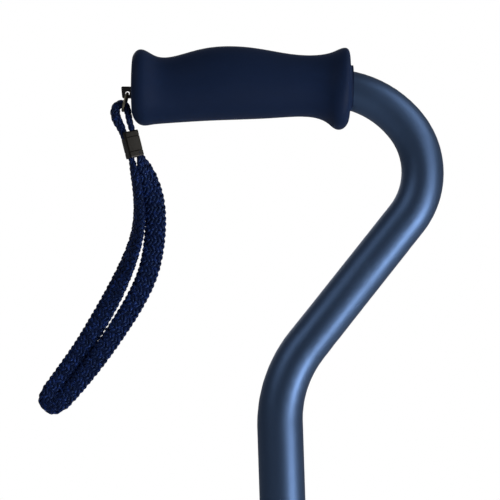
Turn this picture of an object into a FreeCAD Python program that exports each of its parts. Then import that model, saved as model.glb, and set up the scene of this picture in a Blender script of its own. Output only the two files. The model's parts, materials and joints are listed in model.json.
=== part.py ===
"""Height-adjustable quad walking cane with an offset handle, millimetres, +Z up.

The model is laid out about the shaft: the shaft's axis is X = Y = 0 and the floor is Z = 0. The handle's
plane is X-Z, with the bend towards +X and the grip's free end towards -X. Every sub-part then has the same
origin shift in its Placement, which puts the origin on the floor, at the centre of the cane's box.
"""
import FreeCAD, Part
import math
import os

import Sketcher
from FreeCAD import Vector

os.makedirs("parts", exist_ok=True)
doc = FreeCAD.newDocument("quad_cane")

# ---------------------------------------------------------------- driving dimensions

DIMENSIONS = {
    # telescoping shaft
    "shaft_top": 525,
    "upper_end": 180,
    "upper_od": 25.4,
    "upper_wall": 1.2,
    "telescope": 0.4,
    "lower_wall": 1.6,
    "lower_top": 495,
    "hole_dia": 6.8,
    "hole_pitch": 19.05,
    "hole_count": 13,
    "lowest_hole": 240,
    # bends of the handle, along the tube's centre line
    "lower_bend_radius": 68.2,
    "lower_bend_turn": 40.2,
    "slant_length": 89.1,
    "main_bend_radius": 41.2,
    "main_bend_turn": 75.8,
    "grip_bend_radius": 55.4,
    "grip_bend_turn": 51.9,
    "grip_onto_bend": 16.2,
    # the tube is drawn down towards the grip
    "slant_foot_od": 24.0,
    "slant_head_od": 23.6,
    "main_bend_od": 22.8,
    "handle_od": 21.0,
    # grip
    "grip_length": 121.9,
    "grip_overhang": 3,
    # end plug and strap ring
    "plug_depth": 14,
    "plug_wall": 2,
    "lug_root": 1,
    "lug_round": 0.8,
    "lug_length": 6.2,
    "lug_tall": 6.4,
    "lug_thick": 3,
    "lug_drop": 3.7,
    "lug_taper": 0.7,
    "lug_hole_dia": 2.6,
    "lug_hole_out": 2.7,
    "lug_hole_drop": 4.3,
    "ring_radius": 4.9,
    "ring_wire": 1.6,
    "ring_tilt": 17,
    # wrist cord and its crimp
    "cord_thick": 3.6,
    "cord_wide": 6.2,
    "crimp_wall": 0.7,
    "crimp_length": 14.5,
    "crimp_tilt": 12.4,
    "crimp_turn": 20,
    # locking collar
    "collet_reach": 20,
    "collet_grip": 26,
    "collet_wall": 2.3,
    "collet_flange": 2,
    "collet_taper": 1.5,
    "collet_taper_long": 4,
    "collet_shoulder": 8,
    "collet_rim": 2,
    "collet_slit": 1.4,
    "collet_slit_stop": 2,
    "nut_wall": 3.7,
    "nut_length": 35,
    "nut_flute": 3,
    "nut_flutes": 20,
    "nut_edge": 2,
    "nut_floor": 3,
    # snap button and spring
    "button_dia": 6.3,
    "button_proud": 3.2,
    "button_flange_dia": 9,
    "button_flange": 1.2,
    "button_ease": 0.27,
    "button_dome": 1.4,
    "spring_wide": 8,
    "spring_thick": 0.6,
    "spring_length": 44,
    "spring_above": 7,
    "spring_straight": 12,
    "spring_bend": 12,
    "spring_fold": 1.6,
    "spring_fold_wide": 4.8,
    "spring_ease": 0.2,
    # top glide
    "glide_depth": 12,
    "glide_head": 6,
    "glide_bore": 12,
    "glide_edge": 1,
    # base hub
    "hub_deep": 44,
    "hub_cover": 6.05,
    "hub_side": 4.05,
    "hub_web": 2.95,
    "socket_lift": 8,
    "boss_wall": 5.9,
    "boss_tall": 38,
    "boss_flat_cut": 1.5,
    "boss_flat_tall": 18,
    "boss_root": 8,
    "drain_dia": 8,
    "hub_round": 6,
    "hub_rim_round": 2.5,
    "web_thick": 6,
    "web_inset": 5,
    "web_root": 4,
    "web_lip": 1,
    "web_shoulder": 8,
    # legs
    "leg_od": 15.9,
    "leg_wall": 1.5,
    "leg_bend": 25,
    "crossbar_z": 98,
    "crossbar_reach": 44,
    "foot_x": 70,
    "foot_inner_y": 58,
    "foot_outer_y": 112,
    "foot_knee": 45,
    "leg_end": 10,
    # rubber tips
    "sole_flare": 5.5,
    "tip_height": 38,
    "tip_wall": 3.55,
    "tip_rib": 1.2,
    "tip_ribs": 3,
    "tip_first_rib": 16,
    "tip_rib_pitch": 6,
    "tip_rib_wide": 3,
    "tip_edge": 1,
    "sole_thick": 6,
    "sole_slope": 3.5,
    "sole_shoulder": 3,
    "sole_hollow": 2.5,
    "sole_hollow_dia": 12,
    "disc_thick": 1.2,
    # fasteners
    "bolt_dia": 6,
    "bolt_lift": 20,
    "bolt_head": 4,
    "bolt_across": 10,
    "nut_thick": 5,
    "bolt_end": 2,
    "washer_dia": 12.5,
    "washer_thick": 1.2,
    "screw_dia": 4.8,
    "screw_head_dia": 9,
    "screw_head": 2.6,
    "screw_length": 11,
    "screw_hole_depth": 10,
    "screw_recess": 1.4,
    "screw_recess_dia": 3,
    "screw_point": 1.5,
    # clearances
    "running": 0.05,
    "sliding": 0.1,
    "loose": 0.3,
    "bolt_slack": 0.2,
}

dims = doc.addObject("Spreadsheet::Sheet", "dims")
for row, (alias, number) in enumerate(DIMENSIONS.items(), start=1):
    dims.set("A%d" % row, alias)
    dims.set("B%d" % row, str(number))
    dims.setAlias("B%d" % row, alias)
doc.recompute()


def size(name):
    """A driving dimension's value."""
    return float(dims.get(name))


def worked_out(text):
    """The number that an expression of the sheet's names gives now."""
    result = dims.evalExpression(text)
    return float(getattr(result, "Value", result))


# ---------------------------------------------------------------- sizes that follow from the driving ones

UPPER_BORE = "(dims.upper_od - 2 * dims.upper_wall)"
LOWER_OD = "(%s - 2 * dims.telescope)" % UPPER_BORE
LOWER_BORE = "(%s - 2 * dims.lower_wall)" % LOWER_OD
BUTTON_Z = "(dims.lowest_hole + (dims.hole_count - 1) * dims.hole_pitch)"
BUTTON_SHOULDER = "(sqrt((%s / 2)^2 - (dims.button_flange_dia / 2)^2) - dims.button_ease)" % LOWER_BORE
COLLET_OD = "(dims.upper_od + 2 * dims.collet_wall)"
COLLET_FLANGE_OD = "(%s + 2 * dims.collet_flange)" % COLLET_OD
NUT_OD = "(%s + 2 * dims.loose + 2 * dims.nut_wall)" % COLLET_OD
CROSSBAR_X = "(%s / 2 + dims.leg_od / 2 + dims.hub_web)" % LOWER_OD
HUB_LONG = "(2 * %s + dims.leg_od + 2 * dims.hub_side)" % CROSSBAR_X
HUB_LOW = "(dims.crossbar_z - dims.leg_od / 2 - dims.hub_cover)"
HUB_HIGH = "(dims.crossbar_z + dims.leg_od / 2 + dims.hub_cover)"
SOCKET_FLOOR = "(%s + dims.socket_lift)" % HUB_LOW
BOSS_DIA = "(%s + 2 * dims.boss_wall)" % LOWER_OD
BOSS_TOP = "(%s + dims.boss_tall)" % HUB_HIGH
BOSS_FLAT = "(%s / 2 - dims.boss_flat_cut)" % BOSS_DIA
BOLT_Z = "(%s + dims.bolt_lift)" % HUB_HIGH
SLEEVE_DIA = "(dims.leg_od + 2 * dims.tip_wall)"
SOLE_DIA = "(%s + 2 * dims.sole_flare)" % SLEEVE_DIA


# ---------------------------------------------------------------- building helpers

X_AXIS, Y_AXIS, Z_AXIS = Vector(1, 0, 0), Vector(0, 1, 0), Vector(0, 0, 1)
UPRIGHT = FreeCAD.Rotation(Z_AXIS, 0)
ALONG_Y = FreeCAD.Rotation(X_AXIS, -90)
AGAINST_Y = FreeCAD.Rotation(X_AXIS, 90)
subparts = []


def place(thing, at, turn=UPRIGHT):
    """Binds a thing's place to three expressions and sets its rotation."""
    thing.Placement = FreeCAD.Placement(Vector(0, 0, 0), turn)
    for axis, text in zip("xyz", at):
        thing.setExpression("Placement.Base." + axis, text)


def solid(kind, name, at=("0", "0", "0"), turn=UPRIGHT, **sizes):
    """One of Part's primitives, with each size bound to an expression."""
    thing = doc.addObject("Part::" + kind, name)
    for prop, text in sizes.items():
        thing.setExpression(prop, text)
    place(thing, at, turn)
    return thing


def rod(name, diameter, height, at=("0", "0", "0"), turn=UPRIGHT):
    """A cylinder of the given diameter and height."""
    return solid("Cylinder", name, at, turn, Radius="(%s) / 2" % diameter, Height=height)


def cut(name, base, *tools):
    """base less every tool."""
    tool = tools[0] if len(tools) == 1 else fuse(name + "_tools", *tools)
    thing = doc.addObject("Part::Cut", name)
    thing.Base, thing.Tool = base, tool
    return thing


def fuse(name, *pieces):
    """Several pieces made one."""
    thing = doc.addObject("Part::MultiFuse", name)
    thing.Shapes = list(pieces)
    thing.Refine = True
    return thing


def group(name, *pieces):
    """Several separate solids kept as one sub-part."""
    thing = doc.addObject("Part::Compound", name)
    thing.Links = list(pieces)
    return thing


def shaped(name, shape):
    """A feature whose shape is worked out in this file."""
    thing = doc.addObject("Part::Feature", name)
    thing.Shape = shape
    return thing


def subpart(thing, label, at=("0", "0", "0"), turn=UPRIGHT):
    """Names a finished sub-part and gives it its place about the shaft."""
    thing.Label = label
    subparts.append((thing, at, turn))
    return thing


def sketch_on(body, name, role):
    """An empty sketch on one of the body's own origin planes."""
    plane = [f for f in body.Origin.OriginFeatures if f.Role == role][0]
    sketch = body.newObject("Sketcher::SketchObject", name)
    sketch.AttachmentSupport = [(plane, "")]
    sketch.MapMode = "FlatFace"
    return sketch


def outline(sketch, corners):
    """A closed outline through corners, each bound to its pair of expressions."""
    points = [Vector(worked_out(x), worked_out(y), 0) for x, y in corners]
    for here, there in zip(points, points[1:] + points[:1]):
        sketch.addGeometry(Part.LineSegment(here, there), False)
    for line in range(len(points)):
        following = (line + 1) % len(points)
        sketch.addConstraint(Sketcher.Constraint("Coincident", line, 2, following, 1))
    for line, (x, y) in enumerate(corners):
        for kind, text, zero_axis in (("DistanceX", x, -2), ("DistanceY", y, -1)):
            if text == "0":
                sketch.addConstraint(Sketcher.Constraint("PointOnObject", line, 1, zero_axis))
                continue
            distance = Sketcher.Constraint(kind, -1, 1, line, 1, worked_out(text))
            index = sketch.addConstraint(distance)
            sketch.setExpression("Constraints[%d]" % index, text)


def turned(name, profile):
    """A PartDesign body turned about its Z axis from a profile of (radius, height) expressions."""
    body = doc.addObject("PartDesign::Body", name)
    sketch = sketch_on(body, name + "_profile", "XZ_Plane")
    outline(sketch, profile)
    turn = body.newObject("PartDesign::Revolution", name + "_turned")
    turn.Profile = sketch
    turn.ReferenceAxis = (sketch, ["V_Axis"])
    turn.Angle = 360
    sketch.Visibility = False
    return body


def padded(name, corners, length):
    """A PartDesign body padded up from an outline on its XY plane."""
    body = doc.addObject("PartDesign::Body", name)
    sketch = sketch_on(body, name + "_outline", "XY_Plane")
    outline(sketch, corners)
    pad = body.newObject("PartDesign::Pad", name + "_pad")
    pad.Profile = sketch
    pad.setExpression("Length", length)
    return body


def circle(sketch, x, y, diameter):
    """A circle bound to expressions for its centre and diameter."""
    centre = Vector(worked_out(x), worked_out(y), 0)
    made = Part.Circle(centre, Z_AXIS, worked_out(diameter) / 2)
    index = sketch.addGeometry(made, False)
    for kind, text, zero_axis in (("DistanceX", x, -2), ("DistanceY", y, -1)):
        if text == "0":
            sketch.addConstraint(Sketcher.Constraint("PointOnObject", index, 3, zero_axis))
            continue
        distance = Sketcher.Constraint(kind, -1, 1, index, 3, worked_out(text))
        number = sketch.addConstraint(distance)
        sketch.setExpression("Constraints[%d]" % number, text)
    across = Sketcher.Constraint("Diameter", index, worked_out(diameter))
    number = sketch.addConstraint(across)
    sketch.setExpression("Constraints[%d]" % number, diameter)


def rounded_path(points, radii):
    """A wire of straight runs joined by tangent arcs, one radius for each inner point."""
    edges = []
    start = points[0]
    for before, corner, after, radius in zip(points, points[1:], points[2:], radii):
        arriving = (corner - before).normalize()
        leaving = (after - corner).normalize()
        turn = arriving.getAngle(leaving)
        tangent = radius * math.tan(turn / 2)
        into, out = corner - arriving * tangent, corner + leaving * tangent
        inwards = (leaving - arriving).normalize()
        middle = corner + inwards * (radius / math.cos(turn / 2) - radius)
        edges.append(Part.LineSegment(start, into).toShape())
        edges.append(Part.Arc(into, middle, out).toShape())
        start = out
    edges.append(Part.LineSegment(start, points[-1]).toShape())
    return Part.Wire(edges)


def oval(centre, along, across, half_across, half_other):
    """A closed oval wire square to along; across is the direction of half_across, where its seam lies."""
    other = along.cross(across)
    if abs(half_across - half_other) < 1e-9:
        curve = Part.Circle(Vector(0, 0, 0), Z_AXIS, half_across).toShape()
        turn = FreeCAD.Rotation(across, other, along, "XYZ")
    elif half_across > half_other:
        curve = Part.Ellipse(Vector(0, 0, 0), half_across, half_other).toShape()
        turn = FreeCAD.Rotation(across, other, along, "XYZ")
    else:
        curve = Part.Ellipse(Vector(0, 0, 0), half_other, half_across).toShape()
        turn = FreeCAD.Rotation(other, across * -1, along, "XYZ")
    curve.Placement = FreeCAD.Placement(centre, turn)
    return Part.Wire(curve)


def bend_wire(points, radii, diameter):
    """The solid round bar that follows a path of runs and bends."""
    along = (points[1] - points[0]).normalize()
    section = oval(points[0], along, X_AXIS, diameter / 2, diameter / 2)
    return rounded_path(points, radii).makePipeShell([section], True, True)


# ---------------------------------------------------------------- the handle's centre line

def handle_stations():
    """Corner stations of the handle's centre line: (point, heading, tube diameter), and its edges.

    The path leaves the straight shaft upwards, leans towards +X, runs up the slant, and comes back over the
    shaft through the main bend and the flatter grip bend.
    """
    point, heading = Vector(0, 0, size("shaft_top")), math.radians(90)
    stations = [(point, heading, size("upper_od"))]
    edges = []
    bends = [
        ("lower_bend", -1, "slant_foot_od"),
        ("slant", 0, "slant_head_od"),
        ("main_bend", 1, "main_bend_od"),
        ("grip_bend", 1, "handle_od"),
        ("handle", 0, "handle_od"),
    ]
    runs = {"slant": size("slant_length"), "handle": size("grip_length") - size("grip_onto_bend")}
    for name, side, diameter in bends:
        along = Vector(math.cos(heading), 0, math.sin(heading))
        if side == 0:
            end = point + along * runs[name]
            edges.append(Part.LineSegment(point, end).toShape())
        else:
            radius, turn = size(name + "_radius"), math.radians(size(name + "_turn"))
            to_centre = Vector(-along.z, 0, along.x) * side
            centre = point + to_centre * radius
            halfway, finish = heading + side * turn / 2, heading + side * turn
            arc = []
            for angle in (halfway, finish):
                outwards = Vector(math.sin(angle), 0, -math.cos(angle)) * side
                arc.append(centre + outwards * radius)
            edges.append(Part.Arc(point, arc[0], arc[1]).toShape())
            end, heading = arc[1], finish
        point = end
        stations.append((point, heading, size(diameter)))
    return stations, edges


def hook_skin(shrink, capped=False):
    """The bent tube's outer skin, moved in by shrink; capped fills it."""
    wires = []
    for point, heading, diameter in stations:
        along = Vector(math.cos(heading), 0, math.sin(heading))
        radius = diameter / 2 - shrink
        wires.append(oval(point, along, Y_AXIS, radius, radius))
    return Part.Wire(handle_edges).makePipeShell(wires, capped, False), wires


stations, handle_edges = handle_stations()
tube_end, end_heading, _ = stations[-1]
grip_along = Vector(-math.cos(end_heading), 0, -math.sin(end_heading))
grip_up = Vector(-grip_along.z, 0, grip_along.x)
grip_origin = tube_end - grip_along * size("grip_overhang")


def on_grip(along, up, side=0.0):
    """A point measured from the centre of the grip's free end."""
    return grip_origin + grip_along * along + grip_up * up + Y_AXIS * side


# ---------------------------------------------------------------- upper tube

def walls_of(cylinder):
    """A cylinder's curved face alone."""
    return [face for face in cylinder.Faces if "Cylinder" in face.Surface.TypeId]


def make_upper_tube():
    """The bent and drawn handle tube, with its two rows of height holes."""
    outer, outer_rings = hook_skin(0)
    inner, inner_rings = hook_skin(size("upper_wall"))
    length = size("shaft_top") - size("upper_end")
    foot = Vector(0, 0, size("upper_end"))
    skin = Part.makeCylinder(size("upper_od") / 2, length, foot)
    bore = Part.makeCylinder(size("upper_od") / 2 - size("upper_wall"), length, foot)
    foot_ring = [face for face in skin.cut(bore).Faces if face.BoundBox.ZMax < foot.z + 1e-3]
    end_ring = Part.Face(outer_rings[-1]).cut(Part.Face(inner_rings[-1])).Faces
    wall = Part.makeShell(outer.Faces + inner.Faces + walls_of(skin) + walls_of(bore) + foot_ring + end_ring)
    wall.sewShape()
    tube = Part.makeSolid(wall)
    tube.fix(1e-4, 1e-4, 1e-3)
    if tube.Volume < 0:
        tube.reverse()
    holes = []
    for step in range(int(size("hole_count"))):
        height = "dims.lowest_hole + %d * dims.hole_pitch" % step
        at = ("0", "-dims.upper_od", height)
        holes.append(rod("height_hole_%02d" % (step + 1), "dims.hole_dia", "2 * dims.upper_od", at, ALONG_Y))
    return subpart(cut("upper_tube_cut", shaped("upper_blank", tube), *holes), "upper_tube")


# ---------------------------------------------------------------- hand grip

# Sections along the grip, from its free end as shares of its length: (share, rubber over the tube at the top,
# at the bottom and at the sides).
GRIP_SECTIONS = [
    (0.000, 5.0, 4.5, 3.1),
    (0.008, 7.6, 7.6, 5.9),
    (0.038, 9.7, 11.0, 7.9),
    (0.094, 6.7, 10.8, 6.5),
    (0.149, 5.4, 10.1, 5.3),
    (0.221, 7.2, 9.4, 5.4),
    (0.312, 10.3, 8.6, 6.2),
    (0.451, 12.0, 7.7, 6.8),
    (0.611, 10.1, 6.7, 6.1),
    (0.775, 7.5, 5.5, 5.3),
    (0.865, 8.1, 7.4, 5.8),
    (0.923, 10.3, 12.1, 8.1),
    (0.956, 11.8, 12.0, 8.8),
    (0.985, 8.5, 6.3, 5.9),
    (1.000, 2.3, 1.9, 1.9),
]


def make_grip():
    """The soft moulded sleeve, lofted through its sections and bored for the tube."""
    tube_radius = size("handle_od") / 2
    wires = []
    for share, top, bottom, side in GRIP_SECTIONS:
        centre = on_grip(share * size("grip_length"), (top - bottom) / 2)
        wires.append(oval(centre, grip_along, Y_AXIS, tube_radius + side, tube_radius + (top + bottom) / 2))
    sleeve = shaped("grip_sleeve", Part.makeLoft(wires, True, False))
    bore = shaped("grip_bore", hook_skin(0, True)[0])
    mouth = Part.makeCylinder(tube_radius, size("grip_overhang") + 1, on_grip(-1, 0), grip_along)
    return subpart(cut("grip_cut", sleeve, bore, shaped("grip_mouth", mouth)), "hand_grip")


# ---------------------------------------------------------------- end plug, ring, crimp and cord

lug_hole = on_grip(-size("lug_hole_out"), -size("lug_hole_drop"))
tilt = math.radians(size("ring_tilt"))
ring_down = Vector(-math.sin(tilt), 0, -math.cos(tilt))
ring_centre = lug_hole + ring_down * size("ring_radius")


def make_end_plug():
    """The plastic plug pressed into the handle tube's open end, with the lug that holds the strap ring."""
    overhang, depth = size("grip_overhang"), size("plug_depth")
    inside = size("handle_od") / 2 - size("upper_wall")
    disc = Part.makeCylinder(size("handle_od") / 2, overhang, on_grip(0, 0), grip_along)
    spigot = Part.makeCylinder(inside, depth, on_grip(overhang, 0), grip_along)
    hollow = Part.makeCylinder(inside - size("plug_wall"), depth, on_grip(overhang, 0), grip_along)
    long, tall, thick = size("lug_length"), size("lug_tall"), size("lug_thick")
    drop, rooted = size("lug_drop"), size("lug_root")
    side = [
        on_grip(rooted, tall / 2 - drop, -thick / 2),
        on_grip(-long, tall / 2 - drop, -thick / 2),
        on_grip(size("lug_taper") - long, -tall / 2 - drop, -thick / 2),
        on_grip(rooted, -tall / 2 - drop, -thick / 2),
    ]
    lug = Part.Face(Part.makePolygon(side + side[:1])).extrude(Y_AXIS * thick)
    flat = [edge for edge in lug.Edges if abs(edge.tangentAt(0).y) > 0.9]
    outer = [edge for edge in flat if edge.CenterOfMass.x < lug_hole.x]
    lug = lug.makeFillet(size("lug_round"), outer)
    hole_from = lug_hole - Y_AXIS * thick
    hole = Part.makeCylinder(size("lug_hole_dia") / 2, 2 * thick, hole_from, Y_AXIS)
    plug = disc.fuse([spigot.cut(hollow), lug]).cut(hole).removeSplitter()
    return subpart(shaped("end_plug", plug), "grip_end_plug")


def make_ring():
    """The round wire ring that hangs in the lug's hole."""
    normal = ring_down.cross(Y_AXIS)
    ring = Part.makeTorus(size("ring_radius"), size("ring_wire") / 2, ring_centre, normal)
    return subpart(shaped("ring", ring), "strap_ring")


# The wrist cord's route in the handle's plane, as (X, height) from the lug's hole. It starts in the crimp,
# goes up through the ring as a small eye, down through the crimp, round the wrist loop, and back up.
CORD_ROUTE = [
    (4.0, -27.4),
    (0.6, -16.8),
    (-0.5, -5.9),
    (-6.4, -5.9),
    (-7.5, -12.3),
    (-3.5, -19.8),
    (0.9, -35.0),
    (3.6, -49.3),
    (4.8, -65.3),
    (3.1, -78.8),
    (-2.5, -93.8),
    (-10.5, -109.8),
    (-19.5, -124.8),
    (-29.4, -140.1),
    (-41.3, -155.5),
    (-51.7, -168.1),
    (-45.4, -173.0),
    (-34.0, -161.1),
    (-21.5, -146.3),
    (-10.1, -131.0),
    (0.2, -115.8),
    (8.2, -100.5),
    (12.5, -84.8),
    (14.1, -69.3),
    (13.1, -56.8),
    (9.3, -44.3),
    (5.8, -34.7),
    (4.1, -27.8),
]
CRIMP_CENTRE = (2.1, -28.2)


def from_lug(along_x, up, side=0.0):
    """A point measured from the lug's hole."""
    return lug_hole + Vector(along_x, side, up)


def cord_radii(points):
    """Each inner point's arc: 0.45 of the shorter run over the tangent of half the turn."""
    radii = []
    for before, corner, after in zip(points, points[1:], points[2:]):
        turn = (corner - before).getAngle(after - corner)
        shorter = min((corner - before).Length, (after - corner).Length)
        radii.append(0.45 * shorter / math.tan(turn / 2))
    return radii


def make_cord():
    """The flat wrist cord, an oval section with its width across the handle's plane."""
    points = [from_lug(x, up) for x, up in CORD_ROUTE]
    radii = cord_radii(points)
    path = rounded_path(points, radii)
    along = (points[1] - points[0]).normalize()
    section = oval(points[0], along, Y_AXIS, size("cord_wide") / 2, size("cord_thick") / 2)
    cord = path.makePipeShell([section], True, True)
    area = math.pi * size("cord_wide") * size("cord_thick") / 4
    print("wrist cord: length %.1f, radii %s" % (path.Length, ["%.1f" % r for r in radii]))
    print("wrist cord: volume over section times length %.4f" % (cord.Volume / (area * path.Length)))
    return subpart(shaped("cord", cord), "wrist_strap")


def rounded_bar(start, down, across, half_wide, half_deep, corner, length):
    """A bar with rounded edges from start along down; across is the direction of half_wide."""
    deep = down.cross(across)
    corners = []
    for u, v in ((-1, -1), (1, -1), (1, 1), (-1, 1)):
        corners.append(start + across * (u * half_wide) + deep * (v * half_deep))
    block = Part.Face(Part.makePolygon(corners + corners[:1])).extrude(down * length)
    edges = [edge for edge in block.Edges if abs(edge.tangentAt(0).dot(down)) > 0.99]
    return block.makeFillet(corner, edges)


def make_crimp():
    """The folded metal band that closes the eye: an open box round both strands, turned about its own run."""
    lean, turn = math.radians(size("crimp_tilt")), math.radians(size("crimp_turn"))
    down = Vector(math.sin(lean), 0, -math.cos(lean))
    level = Vector(math.cos(lean), 0, math.sin(lean))
    across = level * math.cos(turn) + Y_AXIS * math.sin(turn)
    half_thick, half_wide = size("cord_thick") / 2, size("cord_wide") / 2
    # how far the two strands' ovals reach along the turned box's own directions
    thick_across, thick_along = half_thick * math.cos(turn), half_thick * math.sin(turn)
    reach_wide = thick_across + math.hypot(thick_across, half_wide * math.sin(turn))
    reach_deep = thick_along + math.hypot(thick_along, half_wide * math.cos(turn))
    wall, long = size("crimp_wall"), size("crimp_length")
    top = from_lug(*CRIMP_CENTRE) - down * (long / 2)
    shell = rounded_bar(top, down, across, reach_wide + wall, reach_deep + wall, 2 * wall, long)
    inside = rounded_bar(top - down, down, across, reach_wide, reach_deep, wall, long + 2)
    return subpart(shaped("crimp", shell.cut(inside)), "strap_crimp")


# ---------------------------------------------------------------- locking collar

def make_collet():
    """The split plastic sleeve on the upper tube's lower end: its fingers close on the lower tube."""
    bore, outside, flange = LOWER_OD + " / 2 + dims.sliding", COLLET_OD + " / 2", COLLET_FLANGE_OD + " / 2"
    profile = [
        (bore, "-dims.collet_reach"),
        (outside + " - dims.collet_taper", "-dims.collet_reach"),
        (outside, "dims.collet_taper_long - dims.collet_reach"),
        (outside, "dims.collet_grip - dims.collet_shoulder"),
        (flange, "dims.collet_grip - dims.collet_shoulder"),
        (flange, "dims.collet_grip - dims.collet_rim"),
        (flange + " - dims.collet_rim", "dims.collet_grip"),
        ("dims.upper_od / 2", "dims.collet_grip"),
        ("dims.upper_od / 2", "0"),
        (bore, "0"),
    ]
    body = turned("collet", profile)
    sketch = sketch_on(body, "collet_slits", "XZ_Plane")
    left, right = "-dims.collet_slit / 2", "dims.collet_slit / 2"
    low, high = "-dims.collet_reach - 1", "-dims.collet_slit_stop"
    outline(sketch, [(left, low), (right, low), (right, high), (left, high)])
    slit = body.newObject("PartDesign::Pocket", "collet_slit_cut")
    slit.Profile = sketch
    slit.Type = "ThroughAll"
    slit.Midplane = True
    pattern = body.newObject("PartDesign::PolarPattern", "collet_slit_turns")
    pattern.Originals = [slit]
    pattern.Axis = (sketch, ["V_Axis"])
    pattern.Angle = 180
    pattern.Occurrences = 2
    body.Tip = pattern
    doc.recompute()
    return subpart(body, "collet_sleeve", ("0", "0", "dims.upper_end"))


def make_lock_nut():
    """The fluted ring that turns on the collet."""
    neck, bore, outside = LOWER_OD + " / 2 + dims.loose", COLLET_OD + " / 2 + dims.loose", NUT_OD + " / 2"
    profile = [
        (neck, "0"),
        (outside + " - dims.nut_edge", "0"),
        (outside, "dims.nut_edge"),
        (outside, "dims.nut_length - dims.nut_edge"),
        (outside + " - dims.nut_edge", "dims.nut_length"),
        (bore, "dims.nut_length"),
        (bore, "dims.nut_floor"),
        (neck, "dims.nut_floor"),
    ]
    body = turned("lock_nut_ring", profile)
    sketch = sketch_on(body, "flute_outline", "XY_Plane")
    circle(sketch, outside + " + dims.nut_flute / 5", "0", "dims.nut_flute")
    flute = body.newObject("PartDesign::Pocket", "flute_cut")
    flute.Profile = sketch
    flute.Type = "ThroughAll"
    flute.Reversed = True
    pattern = body.newObject("PartDesign::PolarPattern", "flute_turns")
    pattern.Originals = [flute]
    pattern.Axis = (sketch, ["N_Axis"])
    pattern.Angle = 360
    pattern.setExpression("Occurrences", "dims.nut_flutes")
    body.Tip = pattern
    doc.recompute()
    return subpart(body, "lock_nut", ("0", "0", "dims.upper_end - dims.collet_reach - dims.nut_floor - 1"))


# ---------------------------------------------------------------- lower tube and what it carries

def make_lower_tube():
    """The inner tube, with its button hole and the cross hole for the base bolt."""
    at, length = ("0", "0", SOCKET_FLOOR), "dims.lower_top - " + SOCKET_FLOOR
    skin = rod("lower_skin", LOWER_OD, length, at)
    bore = rod("lower_bore", LOWER_BORE, length, at)
    hole_across = "dims.button_dia + 2 * dims.running"
    button_hole = rod("button_hole", hole_across, LOWER_OD, ("0", "0", BUTTON_Z), AGAINST_Y)
    bolt_across = "dims.bolt_dia + 2 * dims.bolt_slack"
    bolt_hole = rod("lower_bolt_hole", bolt_across, "2 * " + LOWER_OD, ("0", "-" + LOWER_OD, BOLT_Z), ALONG_Y)
    return subpart(cut("lower_tube_cut", skin, bore, button_hole, bolt_hole), "lower_tube")


def make_glide():
    """The plastic bush in the lower tube's top, which runs inside the upper tube."""
    profile = [
        ("dims.glide_bore / 2", "-dims.glide_depth"),
        (LOWER_BORE + " / 2", "-dims.glide_depth"),
        (LOWER_BORE + " / 2", "0"),
        (UPPER_BORE + " / 2 - dims.sliding", "0"),
        (UPPER_BORE + " / 2 - dims.sliding", "dims.glide_head - dims.glide_edge"),
        (UPPER_BORE + " / 2 - dims.glide_edge", "dims.glide_head"),
        ("dims.glide_bore / 2", "dims.glide_head"),
    ]
    return subpart(turned("glide", profile), "tube_glide", ("0", "0", "dims.lower_top"))


def make_button():
    """The domed snap button and its flange; it points towards -Y and is pressed towards +Y."""
    radius, tip = "dims.button_dia / 2", "dims.upper_od / 2 + dims.button_proud"
    back = BUTTON_SHOULDER + " - dims.button_flange"
    profile = [
        ("0", back),
        ("dims.button_flange_dia / 2", back),
        ("dims.button_flange_dia / 2", BUTTON_SHOULDER),
        (radius, BUTTON_SHOULDER),
        (radius, tip + " - dims.button_dome"),
        (radius + " - 0.3 * dims.button_dome", tip + " - 0.4 * dims.button_dome"),
        (radius + " - 0.9 * dims.button_dome", tip),
        ("0", tip),
    ]
    return subpart(turned("button", profile), "snap_button", ("0", "0", BUTTON_Z), AGAINST_Y)


def make_spring():
    """The bent leaf spring behind the button: one arm carries it, the other bears on the tube's far wall."""
    thick, long = size("spring_thick"), size("spring_length")
    height, half_wide = worked_out(BUTTON_Z), size("spring_wide") / 2
    front = size("button_flange") - worked_out(BUTTON_SHOULDER) + thick / 2
    wall = math.sqrt((worked_out(LOWER_BORE) / 2) ** 2 - half_wide**2)
    back = wall - size("spring_ease") - thick / 2
    arm_top, straight, fold = height + size("spring_above"), height - size("spring_straight"), height - long
    half_fold = size("spring_fold_wide") / 2
    points = [
        Vector(0, front, arm_top),
        Vector(0, front, straight),
        Vector(0, -half_fold, fold),
        Vector(0, half_fold, fold),
        Vector(0, back, arm_top),
    ]
    path = rounded_path(points, [size("spring_bend"), size("spring_fold"), size("spring_fold")])
    corners = []
    for u, v in ((-1, -1), (1, -1), (1, 1), (-1, 1)):
        corners.append(points[0] + Vector(u * half_wide, v * thick / 2, 0))
    section = Part.makePolygon(corners + corners[:1])
    return subpart(shaped("spring", path.makePipeShell([section], True, True)), "leaf_spring")


# ---------------------------------------------------------------- base

def round_edges(name, base, radius, wanted):
    """A fillet on each of the base's edges that wanted picks."""
    doc.recompute()
    thing = doc.addObject("Part::Fillet", name)
    thing.Base = base
    thing.Edges = [(k, radius, radius) for k, edge in enumerate(base.Shape.Edges, start=1) if wanted(edge)]
    return thing


def make_hub_block():
    """The hub's block, its corners and upper rim rounded."""
    corner = ("-%s / 2" % HUB_LONG, "-dims.hub_deep / 2", HUB_LOW)
    tall = "%s - %s" % (HUB_HIGH, HUB_LOW)
    block = solid("Box", "hub_block", corner, Length=HUB_LONG, Width="dims.hub_deep", Height=tall)
    high, block_tall = worked_out(HUB_HIGH), worked_out(tall)

    def upright(edge):
        return edge.BoundBox.ZLength > block_tall - 1

    def rim(edge):
        return edge.BoundBox.ZLength < 1e-3 and edge.BoundBox.ZMax > high - 1e-3

    rounded = round_edges("hub_corners", block, size("hub_round"), upright)
    return round_edges("hub_rim", rounded, size("hub_rim_round"), rim)


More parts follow.
